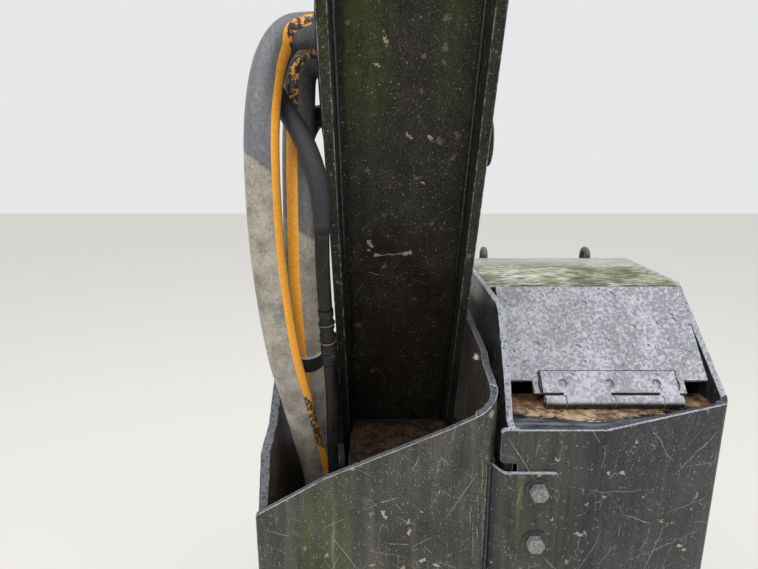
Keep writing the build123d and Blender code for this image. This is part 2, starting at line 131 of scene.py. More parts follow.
def vectorMath(operation, *values):
    node = addNode("ShaderNodeVectorMath", {"operation": operation, **dict(enumerate(values))})
    return node, "Value" if operation in ("LENGTH", "DOT_PRODUCT") else "Vector"


def mixColors(amount, first, second):
    return addNode("ShaderNodeMix", {"data_type": "RGBA", 0: amount, 6: first, 7: second}), 2


def cover(color, over, *shares):
    # the second colour hides the first by the product of the shares
    return mixColors(times(*shares), color, over)


def noiseNode(place, scale, detail, roughness=0.5, **more):
    settings = {**more, "Scale": scale, "Detail": detail, "Roughness": roughness, "Vector": place}
    return addNode("ShaderNodeTexNoise", settings), 0


def cellNode(place, scale, **more):
    # the distance to the middle of a cell, and two random numbers of that cell
    cells = addNode("ShaderNodeTexVoronoi", {**more, "Scale": scale, "Vector": place})
    chance = addNode("ShaderNodeSeparateColor", {0: (cells, "Color")})
    return (cells, 0), (chance, 0), (chance, 1)


def scaled(place, scale, **more):
    return addNode("ShaderNodeMapping", {**more, "Scale": scale, "Vector": place}), 0


def mapRange(value, low, high, toLow=0.0, toHigh=1.0):
    return addNode("ShaderNodeMapRange", {0: value, 1: low, 2: high, 3: toLow, 4: toHigh}), 0


def splitVector(place):
    parts = addNode("ShaderNodeSeparateXYZ", {0: place})
    return (parts, 0), (parts, 1), (parts, 2)


def flatPlace(across, upward):
    return addNode("ShaderNodeCombineXYZ", {0: across, 1: upward}), 0


def newMaterial(name):
    material = bpy.data.materials.new(name)
    material.use_nodes = True
    return material, (addNode("ShaderNodeTexCoord", {}, material.node_tree), "Object")


def shade(material, color, rough, *bumps, **more):
    # bumps: a height, its strength and its depth in metres, each on top of the one before
    normal = {}
    for height, strength, depth in bumps:
        settings = {"Strength": strength, "Distance": depth, "Height": height, **normal}
        normal = {"Normal": (addNode("ShaderNodeBump", settings), 0)}
    for label, value in {"Base Color": color, "Roughness": rough, **more, **normal}.items():
        feed(material.node_tree.nodes["Principled BSDF"].inputs[label], value)
    return material


def newObject(name, data):
    made = bpy.data.objects.new(name, data)
    scene.collection.objects.link(made)
    return made


# Paint over plate steel, weathered outdoors: satin black enamel, clouded by dust, streaked by rain,
# scratched to grey primer, dotted with dried mud. Level edges carry a film of water, whose sky reflection
# is painted into the colour as a bright sheen.
scratchRows = [
    # turn in degrees, cell length and width in metres, share of the cells that hold a scratch
    (63, 0.180, 0.0016, 0.014), (-57, 0.150, 0.0015, 0.012), (28, 0.090, 0.0014, 0.011),
    (-22, 0.070, 0.0014, 0.012), (82, 0.060, 0.0013, 0.018), (-41, 0.034, 0.0013, 0.020), (12, 0.022, 0.0012, 0.022),
    (86, 0.012, 0.0011, 0.035), (-73, 0.015, 0.0011, 0.030), (58, 0.010, 0.0011, 0.030),
]
# marks that stand out in the photo: x and z of both ends and half the width, in mm
wrapScuffs = (
    (-50, 630, -5, 647, 0.35), (16, 697, 9, 682, 0.6), (42, 700, 37, 673, 0.3), (-26, 585, 8, 581, 0.5),
    (-40, 573, 2, 564, 0.3), (96, 560, 94, 640, 0.5), (88, 590, 87, 652, 0.35), (101, 520, 99, 600, 0.4),
    (97, 610, 96, 690, 0.5), (103, 570, 102, 650, 0.5), (106, 610, 105, 700, 0.45), (91, 650, 89, 705, 0.4),
    (84, 565, 82, 622, 0.35), (79, 600, 78, 640, 0.3))
wrapSplats = (
    (6, 597, 7, 601, 2.2), (5, 612, 5, 616, 1.6), (20, 559, 26, 561, 2.0), (38, 552, 43, 551, 1.8),
    (39, 652, 42, 655, 1.3), (-26, 628, -22, 618, 1.7), (-94, 566, -92, 568, 1.4), (-39, 552, -36, 553, 1.5))
linkScuffs = (
    (-39, 905, 14, 909, 0.9), (-46, 880, -30, 876, 0.5), (-28, 883, -18, 900, 0.35), (27, 876, 45, 880, 0.4))
linkSplats = (
    (-45, 926, -40, 920, 2.8), (-44, 914, -42, 915, 1.5), (-36, 905, -30, 906, 1.9), (4, 908, 12, 910, 2.4),
    (-24, 1159, -22, 1152, 1.2), (-34, 1134, -30, 1132, 1.5), (22, 1006, 25, 1004, 1.6),
    (3, 1061, 7, 1058, 1.5), (27, 1060, 31, 1056, 1.6))
boxScuffs = (
    (291, 730, 334, 669, 0.4), (402, 699, 335, 649, 0.4), (392, 690, 352, 663, 0.35), (341, 659, 399, 653, 0.3),
    (318, 597, 397, 600, 0.3), (280, 542, 393, 553, 0.35), (182, 664, 308, 637, 0.3), (266, 613, 314, 588, 0.35))
boxSplats = (
    (237, 678, 240, 676, 2.0), (257, 673, 262, 671, 1.7), (235, 647, 237, 645, 1.3), (274, 712, 275, 709, 1.5),
    (206, 597, 212, 595, 2.0), (362, 541, 367, 538, 2.2), (372, 531, 375, 529, 1.8), (328, 587, 331, 585, 1.5),
    (345, 580, 347, 579, 1.2), (173, 622, 175, 621, 1.2))
insidePocket = ((-0.166, 0.102), (-0.2425, 0.24), (0.40, 0.83))       # low and high along x, y and z
paintDefaults = {"scratchAmount": 0.65, "specks": 0.8, "splats": 0.8, "wetDots": 0.0}
# rim: the two colours of the sky reflection painted on level edges; rimAmount: how strongly it is painted
paintLooks = {
    # bands: the same three ranges, the softness of their sides, colour and amount
    "framePaint": {
        "paint": ("#1b1d1b", "#3a3a35"), "dust": "#77746a", "dustAmount": 0.34, "shine": 0.22, "scratches": 0.9,
        "scratch": "#b9bab6", "grain": 0.66, "rough": (0.18, 0.44), "rim": ("#3a3c41", "#66696f"), "rimAmount": 0.85,
        "drops": 0.25, "inside": "#4a3524", "insideAmount": 0.8, "scuffs": wrapScuffs, "marks": wrapSplats,
        "bands": (((-0.124, -0.062), (-0.252, -0.249), (0.50, 0.662), 0.005, "#3f4b20", 0.8),
                  ((-0.0865, -0.0825), (-0.252, -0.249), (0.50, 0.640), 0.0015, "#77786f", 0.6))},
    "linkPaint": {
        "paint": ("#0f100f", "#262720"), "dust": "#544d40", "dustAmount": 0.30, "shine": 0.14, "scratches": 0.2,
        "scratch": "#98927f", "scratchAmount": 0.6, "splats": 0.32, "grain": 0.40, "rough": (0.26, 0.5),
        "rim": ("#2c2a25", "#4d483e"), "rimAmount": 0.3, "drops": 0.0, "inside": "#4a3a29", "insideAmount": 0.12,
        "scuffs": linkScuffs, "marks": linkSplats,
        "bands": (((-0.078, -0.024), (-0.32, 0.05), (1.07, 1.45), 0.014, "#3f4d1d", 0.75),
                  ((0.030, 0.062), (-0.32, 0.05), (1.09, 1.45), 0.010, "#3a461e", 0.6),
                  ((-0.085, 0.085), (-0.32, 0.20), (0.60, 0.95), 0.060, "#2a1f19", 0.45),
                  # painted shade: a near-black strip along the corner between the web and the inboard side plate
                  ((-0.078, -0.066), (-0.32, 0.20), (0.60, 1.40), 0.003, "#070707", 0.9))},
    "boxPaint": {
        "paint": ("#13161a", "#292e32"), "dust": "#6f706f", "dustAmount": 0.18, "shine": 0.20, "scratches": 0.85,
        "scratch": "#bcc0c0", "specks": 0.85, "grain": 0.32, "rough": (0.14, 0.4), "rim": ("#7d8088", "#a9acb4"),
        "rimAmount": 0.95, "drops": 0.3, "inside": "#2a2622", "insideAmount": 0.3, "wetDots": 0.75,
        "scuffs": boxScuffs, "marks": boxSplats,
        "bands": (((0.105, 0.206), (-0.258, -0.249), (0.30, 0.74), 0.016, "#56584c", 0.5),
                  ((0.136, 0.166), (-0.258, -0.249), (0.580, 0.690), 0.006, "#363f24", 0.5),
                  ((0.1315, 0.137), (-0.258, -0.249), (0.585, 0.690), 0.002, "#666b3c", 0.5))},
}
# the water on the inner half of the trough's rim: from this x, between two y, and the rim's slant
wetRim = {"fromX": 0.1315, "rearY": -0.2466, "frontY": -0.2400, "slant": 0.379, "slantStart": -0.0875}


def warpedPlace(place, scale, amount):
    warp = noiseNode(place, scale, 3.0)[0]
    centred = vectorMath("SUBTRACT", (warp, "Color"), (0.5, 0.5, 0.5))
    return vectorMath("MULTIPLY_ADD", centred, (amount, amount, amount), place)


def scratchMask(place, plenty):
    # the plates' run and height, unrolled, so that a pattern keeps its length on every face
    flat = flatPlace(vectorMath("DOT_PRODUCT", place, (1.0, 0.6, 0.0)),
                     vectorMath("DOT_PRODUCT", place, (0.0, -0.7, 1.0)))
    bend = noiseNode(flat, 3.5, 1.0, noise_dimensions="2D")[0]
    bent = vectorMath("MULTIPLY_ADD", (bend, "Color"), (0.03, 0.03, 0.0), flat)
    mask = 0.0
    for turn, cellLength, cellWidth, share in scratchRows:
        lie = scaled(bent, (cellLength, cellWidth, 1.0), vector_type="TEXTURE", Rotation=(0, 0, radians(turn)))
        away, chance, depth = cellNode(lie, 1.0, voronoi_dimensions="2D")
        line = times(below(away, 0.2), below(chance, share * plenty), timesPlus(depth, 0.75, 0.25))
        mask = mathNode("MAXIMUM", mask, line)
    return mask


def segmentMask(place, warpScale, warpAmount, segments):
    # each segment thins to its ends, as the long ellipse inside which the scaled length is below 1
    across, ahead, upward = splitVector(warpedPlace(place, warpScale, warpAmount))
    flat = flatPlace(across, upward)
    mask = 0.0
    for x1, z1, x2, z2, half in segments:
        reach = hypot(x2 - x1, z2 - z1) / 2 + half
        lie = scaled(flat, (reach * mm, half * mm, 1.0), vector_type="TEXTURE",
                     Location=((x1 + x2) / 2 * mm, (z1 + z2) / 2 * mm, 0),
                     Rotation=(0, 0, atan2(z2 - z1, x2 - x1)))
        mask = mathNode("MAXIMUM", mask, below(vectorMath("LENGTH", lie), 1.0))
    return mask


def dotMask(place, cellSize, widest, ragged):
    # dots in cells of a size in metres; their radius is random, up to the widest in cells
    away, chance, other = cellNode(place, 1 / cellSize)
    stretch = timesPlus(noiseNode(place, 4 / cellSize, 4.0), ragged, 1 - ragged / 2)
    return below(times(stretch, away), times(mathNode("POWER", chance, 3.0), widest))


def zoneMask(parts, limits, soft):
    # softened sides along x, sharp along y, long fades along z
    ends = []
    for part, (low, high), blur in zip(parts, limits, (soft, 0.0006, 0.03)):
        ends += [mapRange(part, low - blur, low + blur), mapRange(part, high - blur, high + blur, 1.0, 0.0)]
    return times(*ends)


def rainStreaks(place, wide, tall, low, high):
    streaks = noiseNode(scaled(place, (1 / wide, 1 / wide, 1 / tall)), 1.0, 5.0, 0.62)
    return addRamp(streaks, [(low, 0.0), (high, 1.0)])


def paintedSteel(name, look):
    material, place = newMaterial(name)
    across, ahead, upward = splitVector(place)
    faceAcross, faceAhead, faceUp = splitVector((place[0], "Normal"))
    broad = noiseNode(place, 13.0, 6.0, 0.62)         # clouds about 80 mm across
    fine = noiseNode(place, 190.0, 5.0, 0.7)          # grit about 5 mm across
    color = mixColors(addRamp(broad, [(0.34, 0.0), (0.68, 1.0)]), *look["paint"])
    dust = times(timesPlus(fine, 0.5, rainStreaks(place, 0.011, 0.16, 0.46, 0.76)), look["dustAmount"])
    color = cover(color, look["dust"], dust)

    # brown silt has run down the walls inside the pocket
    color = cover(color, look["inside"], zoneMask((across, ahead, upward), insidePocket, 0.001),
                  rainStreaks(place, 0.008, 0.12, 0.34, 0.66), look["insideAmount"])

    # algae and dried water in upright bands on the rear faces; on the link a brown band darkens its lower
    # part, and a narrow near-black band is painted shade in the web's inboard corner
    waved = splitVector(warpedPlace(place, 30.0, 0.008))[0]
    for *limits, soft, hexCode, amount in look["bands"]:
        color = cover(color, hexCode, zoneMask((waved, ahead, upward), limits, soft),
                      rainStreaks(place, 0.009, 0.09, 0.30, 0.62), amount)

    # dried rain has left a fine light grain, thickest where the dust is
    grain = addRamp(noiseNode(place, 560.0, 3.0, 0.7), [(0.52, 0.0), (0.66, 1.0)])
    patchy = mapRange(broad, 0.35, 0.65, 0.35)
    color = cover(color, "#8b877b", grain, patchy, look["grain"])

    # scratches, mud and drops
    color = cover(color, look["scratch"], scratchMask(place, look["scratches"]), look["scratchAmount"])
    color = cover(color, "#8f918c", dotMask(place, 0.0042, 0.30, 0.8), look["specks"], patchy)
    splats = dotMask(warpedPlace(place, 260.0, 0.012), 0.020, 0.22, 2.4)
    color = cover(color, "#9d9581", splats, look["splats"])
    if look["wetDots"]:
        color = cover(color, "#0a0b0c", dotMask(place, 0.017, 0.13, 0.5), look["wetDots"])
    rearward = below(faceAhead, -0.4)
    color = cover(color, "#aaaca8", segmentMask(place, 45.0, 0.010, look["scuffs"]), rearward, above(fine, 0.44), 0.6)
    color = cover(color, "#b0a78f", segmentMask(place, 330.0, 0.011, look["marks"]), rearward, 0.85)

    # edges and ledges that look up get a painted sky reflection on their water film, lighter in colour, broken by
    # darker drops about 4 mm apart
    level = times(mapRange(faceUp, 0.30, 0.46), mapRange(upward, 0.52, 0.56))
    beads = cellNode(place, 260.0)[0]
    wetSkySheen = addRamp(timesPlus(fine, 0.5, beads), [(0.34, "#3f4147"), (0.46, look["rim"][0]), (0.8, look["rim"][1])])
    color = cover(color, wetSkySheen, level, look["rimAmount"])
    if name == "boxPaint":
        slanted = mathNode("MAXIMUM", timesPlus(across, wetRim["slant"], wetRim["slantStart"]), 0.0)
        inward = mathNode("SUBTRACT", ahead, slanted)
        color = cover(color, "#24262b", above(inward, wetRim["rearY"]), below(inward, wetRim["frontY"]),
                      above(across, wetRim["fromX"]), level, 0.9)

    gloss = mapRange(broad, 0.3, 0.7, *look["rough"])
    dropHeight = addRamp(beads, [(0.0, 1.0), (0.42, 0.0)])
    return shade(material, color, timesPlus(dust, 0.5, gloss), (fine, 0.12, 0.0006),
                 (dropHeight, look["drops"], 0.001), **{"Specular IOR Level": look["shine"]})


# Lid and hinge paint: faded grey-black enamel under a broken film of rain, whose sky reflection is
# painted into the colour as lavender grey, with lighter veins where the film ends, painted shade in small
# dark crescents at the drops and painted glints in light dots
def wetPaintSkySheen(name, look):
    material, place = newMaterial(name)
    warp = noiseNode(place, 110.0, 3.0)[0]
    warped = vectorMath("MULTIPLY_ADD", (warp, "Color"), (0.006, 0.006, 0.006), place)
    veins = noiseNode(warped, 225.0, 3.0, Distortion=0.6)                # film patches about 3 mm across
    level = timesPlus(noiseNode(place, 24.0, 4.0), 0.55, veins)
    color = addRamp(level, list(zip((0.66, 0.75, 0.81, 0.92), look["tones"])))
    # crescents of painted shade: a drop's rim, kept on its lower left only
    away, chance, other = cellNode(place, 1 / look["dropCell"])
    shifted = scaled(place, (1.0, 1.0, 1.0), Location=[look["dropCell"] * share for share in (0.075, 0.05, 0.05)])
    inner = cellNode(shifted, 1 / look["dropCell"])[0]
    rim = mathNode("SUBTRACT", below(away, 0.2), below(inner, 0.2), clamp=True)
    color = cover(color, "#1c1c20", rim, above(chance, 1 - look["dropShare"]), 0.85)
    # painted glints: small light dots of sky reflected in drops
    color = cover(color, "#d3d4da", dotMask(place, 0.0045, 0.24, 0.0), 0.5)
    if look["rust"]:
        stain = noiseNode(place, 60.0, 7.0, 0.7)
        color = cover(color, "#7a5433", addRamp(stain, [(0.58, 0.0), (0.70, look["rust"])]))
    # the knuckles' lower parts get painted shade and stay dark
    under = mapRange(splitVector(place)[2], look["darkBelow"] - 0.004, look["darkBelow"], 0.95, 0.0)
    color = cover(color, "#121214", under)
    return shade(material, color, mapRange(veins, 0.3, 0.7, 0.34, 0.12), (veins, 0.5, 0.0006))


# Arrises of plates: enamel rubbed through to bright steel, wet and dotted
def wornEdge(name, steelHex, paintHex, wear):
    material, place = newMaterial(name)
    mask = addRamp(noiseNode(place, 90.0, 6.0, 0.65), [(0.62 - 0.3 * wear, 0.0), (0.72 - 0.2 * wear, 1.0)])
    return shade(material, mixColors(mask, paintHex, steelHex), 0.32)


# Top plate paint under a felt of algae: chalky grey, olive and brown in streaks across the machine
def mossyPaint():
    material, place = newMaterial("mossyPaint")
    streaks = noiseNode(scaled(place, (42.0, 310.0, 60.0)), 1.0, 6.0, 0.66)      # 30 mm long and 4 mm wide
    moss = addRamp(timesPlus(noiseNode(place, 17.0, 3.0), 0.6, streaks),
                   [(0.68, "#d8d8ca"), (0.76, "#a6a793"), (0.83, "#6d7547"), (0.93, "#3d4726")])
    cracks = noiseNode(scaled(place, (60.0, 420.0, 60.0), Location=(0.4, 0.0, 0.0)), 1.0, 3.0)
    color = cover(moss, "#40362b", addRamp(cracks, [(0.51, 0.0), (0.60, 0.8)]))
    # the far edge turns a lighter grey and loses its green
    color = cover(color, "#a2a59c", mapRange(splitVector(place)[1], 0.06, 0.13, 0.0, 0.8))
    return shade(material, color, 0.55, (streaks, 0.5, 0.001))


# Trough steel: tan silt and rust over black paint; water stands dark along the rim
def rustySilt():
    material, place = newMaterial("rustySilt")
    clumps = noiseNode(place, 55.0, 8.0, 0.68)
    across, ahead, upward = splitVector(place)
    # the wet band is 54 mm wide at the left and narrows; the rim's right part slants inwards
    straight = mathNode("ADD", timesPlus(across, 0.175, ahead), 0.1633)
    slanted = mathNode("ADD", timesPlus(across, -0.204, ahead), 0.2501)
    beyond = mathNode("MINIMUM", straight, slanted)
    level = mathNode("ADD", clumps, mapRange(beyond, -0.010, 0.012, -0.30, -0.02))
    crust = addRamp(level, [(0.26, "#17191d"), (0.36, "#3a3733"), (0.45, "#6f5136"), (0.56, "#99724d"),
                            (0.72, "#bf9a74")])
    # the water mirrors the sky in long grey patches
    ripple = noiseNode(scaled(place, (28.0, 120.0, 1.0)), 1.0, 4.0)
    color = cover(crust, "#73757e", addRamp(ripple, [(0.46, 0.0), (0.60, 0.75)]),
                  mapRange(beyond, -0.012, -0.002, 1.0, 0.0))
    return shade(material, color, addRamp(level, [(0.30, 0.10), (0.46, 0.7)]), (clumps, 0.6, 0.0012))


# Zinc-plated steel: dull grey metal with a fine spangle, clouded and slightly stained
def zincSteel(name, brightHex, dullHex, rough, washerFrom=None):
    # washerFrom: the y in metres beyond which a dirty washer lies under a bolt's head
    material, place = newMaterial(name)
    spangle = noiseNode(place, 420.0, 5.0, 0.7)
    color = addRamp(spangle, [(0.38, dullHex), (0.62, brightHex)])
    if washerFrom:
        color = cover(color, "#26281f", above(splitVector(place)[1], washerFrom), 0.85)
    return shade(material, color, rough, (spangle, 0.3, 0.0004), Metallic=0.3 if washerFrom else 0.75)


# Moulded black plastic or rubber: fine grain, a little dust
def mouldedBlack(name, hexCode, dustHex, rough):
    material, place = newMaterial(name)
    mask = addRamp(noiseNode(place, 60.0, 6.0), [(0.5, 0.0), (0.75, 0.6)])
    return shade(material, mixColors(mask, hexCode, dustHex), rough, (noiseNode(place, 420.0, 3.0), 0.2, 0.0003),
                 **{"Specular IOR Level": 0.35})


# Hose cover: grey synthetic rubber with a fine cloth-wrap print and a plain orange stripe.
# The UV map runs once round the hose in U and in metres along it in V.
def hoseRubber(name, look):
    material, place = newMaterial(name)
    turn, reach, other = splitVector((place[0], "UV"))
    across, ahead, upward = splitVector(place)
    blotch = noiseNode(place, 34.0, 7.0, 0.66)
    fine = noiseNode(place, 330.0, 4.0, 0.7)
    clean = addRamp(fine, [(0.3, look["dark"]), (0.7, look["clean"])])
    # dried mud below a crisp, slanted line: it ends higher on the inboard side
    slant = timesPlus(blotch, 0.02, timesPlus(across, 0.8, upward))
    dusty = mapRange(slant, look["dustLine"] - 0.002, look["dustLine"] + 0.002, look["dustAmount"], look["dustAbove"])
    mud = addRamp(timesPlus(fine, 0.6, blotch), [(0.62, look["dustLow"]), (0.95, look["dustHigh"])])
    color = mixColors(dusty, clean, mud)
    color = cover(color, "#bdb6a6", dotMask(place, 0.0032, 0.34, 0.0), dusty, 0.6)
    color = cover(color, "#c4beb0", scratchMask(place, 0.8), look["scuffAmount"])
    if look["stripeHalf"]:
        away = mathNode("ABSOLUTE", mathNode("SUBTRACT", turn, 0.5))
        inStripe = below(timesPlus(fine, 0.006, away), look["stripeHalf"] + 0.003)
        # wear along the hose, in metres from its lower end; the worn parts end on a slant
        wear = addRamp(mathNode("SUBTRACT", timesPlus(turn, 0.25, reach), 0.125), look["wear"])
        color = cover(color, "#28231c", inStripe, above(wear, 0.5), 0.85)
        flakes = mathNode("SUBTRACT", noiseNode(place, 150.0, 5.0, 0.75), wear)
        color = cover(color, addRamp(fine, [(0.3, "#f0992a"), (0.62, "#ffb84a")]), inStripe, above(flakes, 0.0))
    # cloth-wrap print: shallow ridges 2 mm apart round the hose
    ridges = mathNode("SINE", times(reach, 2 * pi / 0.002))
    return shade(material, color, timesPlus(dusty, 0.3, 0.40), (ridges, 0.10, 0.0003), (fine, 0.30, 0.0006),
                 **{"Specular IOR Level": 0.3})


# Braided textile sleeve: charcoal polyester, 30 strands each way, crossing every 2.3 mm
def braidedSleeve():
    material, place = newMaterial("braidedPolyesterSleeve")
    turn, reach, other = splitVector((place[0], "UV"))
    turns, along = times(turn, 30 * pi), times(reach, 2 * pi / 0.0046)
    weave = times(mathNode("SINE", mathNode("ADD", turns, along)),
                  mathNode("SINE", mathNode("SUBTRACT", turns, along)))
    color = addRamp(timesPlus(weave, 0.5, 0.5), [(0.3, "#0c0c0e"), (0.72, "#1b1b1e"), (0.92, "#4b4b51")])
    return shade(material, color, 0.62, (weave, 0.5, 0.0005))


# Soil and leaf dust washed into the pocket, or silt in the trough: damp and crumbly
def crumbledSoil(name, *tones):
    material, place = newMaterial(name)
    crumbs = noiseNode(place, 120.0, 8.0, 0.75)
    color = addRamp(timesPlus(noiseNode(place, 30.0, 4.0), 0.8, crumbs), list(zip((0.74, 0.90, 1.0), tones)))
    return shade(material, color, 0.85, (crumbs, 0.8, 0.0015))


# Weld metal: rippled bead under black paint, glossy and nearly black in its valleys
def weldMetal():
    material, place = newMaterial("paintedWeldMetal")
    scale = noiseNode(place, 260.0, 4.0)
    return shade(material, addRamp(scale, [(0.4, "#101112"), (0.7, "#3b3b3e")]), 0.3, (scale, 0.4, 0.0006))


hoseDust = {"dustLow": "#7b776d", "dustHigh": "#b8b1a2", "scuffAmount": 0.4, "stripeHalf": 0.060}
materials = {
    **{name: paintedSteel(name, {**paintDefaults, **look}) for name, look in paintLooks.items()},
    # the lid's lavender grey tones are the sky reflection painted in, lighter than the enamel's own grey-black
    "lidPaint": wetPaintSkySheen("wetLidPaint", {
        "tones": ("#84858b", "#94959b", "#a6a7ad", "#b9bac1"), "dropCell": 0.019, "dropShare": 0.45, "rust": 0.0,
        "darkBelow": 0.0}),
    "hingeSteel": wetPaintSkySheen("wetHingePaint", {
        "tones": ("#888990", "#9a9ba2", "#acadb4", "#bdbec5"), "dropCell": 0.016, "dropShare": 0.18, "rust": 0.5,
        "darkBelow": 0.7345}),
    "edgeBright": wornEdge("wornSteelEdge", "#b4b7bd", "#4a4c50", 0.9),
    "edgeDull": wornEdge("rubbedPaintEdge", "#85878a", "#26282a", 0.55),
    "mossyPaint": mossyPaint(),
    "rustySilt": rustySilt(),
    "zincBolt": zincSteel("dullZincBolt", "#969898", "#5d5f5f", 0.45, washerFrom=-0.2588),
    "brightZinc": zincSteel("brightZincNut", "#c9cbcc", "#8a8c8d", 0.3),
    "zincFitting": zincSteel("yellowZincFitting", "#a59a72", "#5e5844", 0.4),
    "pinSteel": zincSteel("groundPinSteel", "#8d8b86", "#504d48", 0.34),
    # its black is darkened as painted shadow of the hood above the hoses
    "blackPlastic": mouldedBlack("mouldedNylon", "#0a0a0b", "#33312d", 0.5),
    "blackRubber": mouldedBlack("mouldedRubber", "#131313", "#4b4842", 0.7),
    "capPlastic": mouldedBlack("mouldedPolypropylene", "#1a1a1c", "#4a4a48", 0.45),
    "mainHose": hoseRubber("mainHoseRubber", {
        **hoseDust, "dark": "#55565a", "clean": "#76777a", "dustAmount": 0.9, "dustAbove": 0.0, "dustLine": 0.916,
        "wear": [(0.0, 0.0), (0.180, 0.05), (0.184, 0.56), (0.280, 0.56), (0.284, 0.30), (0.65, 0.20), (0.712, 0.30),
                 (0.717, 0.53), (1.0, 0.53)]}),
    "secondHose": hoseRubber("secondHoseRubber", {
        **hoseDust, "dark": "#48494c", "clean": "#66676a", "dustAmount": 0.75, "dustAbove": 0.1, "dustLine": 0.87,
        "wear": [(0.0, 0.0), (0.62, 0.2), (0.64, 0.30), (0.645, 0.54), (1.0, 0.54)]}),
    # its tones are darkened below black rubber's own, as painted shadow of the hood above the hoses
    "plainHose": hoseRubber("plainHoseRubber", {
        "dustLow": "#2b2926", "dustHigh": "#4b4842", "dark": "#060607", "clean": "#101111", "dustAmount": 0.14,
        "dustAbove": 0.05, "dustLine": 0.70, "stripeHalf": 0.0, "scuffAmount": 0.12}),
    "sleeve": braidedSleeve(),
    # the pocket soil's own brown is darkened as painted shade of the pocket
    "soil": crumbledSoil("dampSoil", "#1c120b", "#3a2718", "#5a3f28"),
    "silt": crumbledSoil("driedSilt", "#42342a", "#836a50", "#b59c80"),
    "weld": weldMetal(),
    # standing water: clear and smooth; on paint it shows as a bright-rimmed bead
    "water": shade(newMaterial("standingWater")[0], "#d5d8de", 0.03, IOR=1.33, **{"Transmission Weight": 1.0}),
}
print("materials made")

# Camera at the photo's place: standing eye height, just behind the tower, looking forward and down
cameraLook = {"place": (-0.03, -0.83, 1.05), "pitch": 14.0, "lens": 26.6}
cameraData = bpy.data.cameras.new("photoCamera")
cameraData.lens = cameraLook["lens"]
cameraData.sensor_width = 36.0
cameraData.clip_start = 0.01
camera = newObject("photoCamera", cameraData)
camera.location = cameraLook["place"]
camera.rotation_euler = (radians(90 - cameraLook["pitch"]), 0, 0)
scene.camera = camera

# Hoses: each follows one NURBS line through the places of its route in mm, from the bulkhead up
hoseDefaults = {"stripeTo": (0, -1, 0), "stripeTurn": ((0, 0),), "stiffness": None, "bendFrom": None}
hoseLooks = {
    "mainHose": {
        "node": "hose_main", "radius": 0.019, "material": "mainHose", "stripeTo": (0.906, -0.42, 0),
        "stripeTurn": [(0.66, 0), (0.704, -10), (0.735, -55), (0.757, -80)], "stiffness": "stiff", "bendFrom": 0.86,
        "route": [(-116, -104, 480), (-116, -104, 540), (-118, -120, 600), (-124, -143, 655), (-130, -165, 706),
                  (-135, -186, 754), (-141, -202, 794), (-146, -210, 835), (-150, -215, 880), (-153.5, -219, 931),
                  (-155, -219, 978), (-156, -215, 1023), (-156.5, -207, 1061), (-155, -195, 1096),
                  (-151, -182, 1128), (-143, -170, 1153), (-129, -165, 1170), (-110, -165, 1172),
                  (-96.3, -165, 1172)]},
    "secondHose": {
        "node": "hose_second", "radius": 0.019, "material": "secondHose", "stripeTo": (-0.31, -0.95, 0),
        "stiffness": "stiff", "bendFrom": 0.86,
        "route": [(-113, -52, 480), (-113, -52, 540), (-115, -70, 597), (-117, -93, 648), (-118, -115, 699),
                  (-119, -141, 750), (-120, -162, 800), (-121, -177, 847), (-122, -186, 897), (-122, -184, 949),
                  (-123, -172, 998), (-124.5, -155, 1042), (-125, -137, 1078), (-125.5, -122, 1107),
                  (-124.7, -115, 1130.6), (-118.7, -115, 1141), (-108.3, -115, 1147), (-96.3, -115, 1147)]},
    "thirdHose": {
        "node": "hose_third", "radius": 0.014, "material": "plainHose", "stiffness": "stiff", "bendFrom": 0.82,
        "route": [(-114, -4, 480), (-114, -4, 540), (-114, -14, 600), (-114, -36, 660), (-114, -66, 715),
                  (-116, -98, 775), (-119, -122, 840), (-123, -126, 905), (-128, -114, 962), (-131, -100, 1010),
                  (-130, -90, 1044), (-125, -88, 1064), (-116, -93, 1079), (-107, -97, 1085), (-96.3, -97, 1085)]},
    "sleevedHose": {
        "node": "hose_sleeved", "radius": 0.011, "material": "sleeve", "stiffness": "medium", "bendFrom": 0.96,
        "route": [(-91.3, -233, 957), (-91, -234.5, 979.5), (-92.5, -232.5, 1002), (-98, -225, 1026),
                  (-108, -209, 1049), (-121, -188.5, 1070), (-138, -164.5, 1091), (-153, -142, 1114),
                  (-159, -127, 1138), (-154, -117, 1159), (-142, -117, 1176), (-128, -125, 1182),
                  (-112, -128, 1182), (-96.3, -128, 1182)]},
    "bareHose": {
        "node": "hose_bare", "radius": 0.008, "material": "plainHose",
        "route": [(-91, -217, 868), (-91.43, -223, 892), (-91.8, -228.5, 918), (-91.6, -231.5, 934.5),
                  (-91.3, -233, 957)]},
    "lowerHose": {
        "node": "hose_lower", "radius": 0.007, "material": "plainHose", "stiffness": "medium",
        "route": [(-88, -168, 480), (-88, -168, 540), (-90, -166.5, 610), (-90.8, -171, 668), (-89.5, -180, 724),
                  (-89.2, -191.8, 767.2), (-90, -203, 812)]},
}
hoseLooks = {name: {**hoseDefaults, **look} for name, look in hoseLooks.items()}
hoseMesh = {"sides": 40, "resolution": 12}
sleeveTaper = {"from": 0.0083, "over": 0.060}      # the sleeve is drawn in towards its lower end


def bakedMesh(piece):
    bpy.context.view_layer.update()
    return bpy.data.meshes.new_from_object(piece.evaluated_get(bpy.context.evaluated_depsgraph_get()))


def bakeModifiers(piece):
    mesh = bakedMesh(piece)
    mesh.name = piece.name
    piece.modifiers.clear()
    piece.data = mesh
    return piece


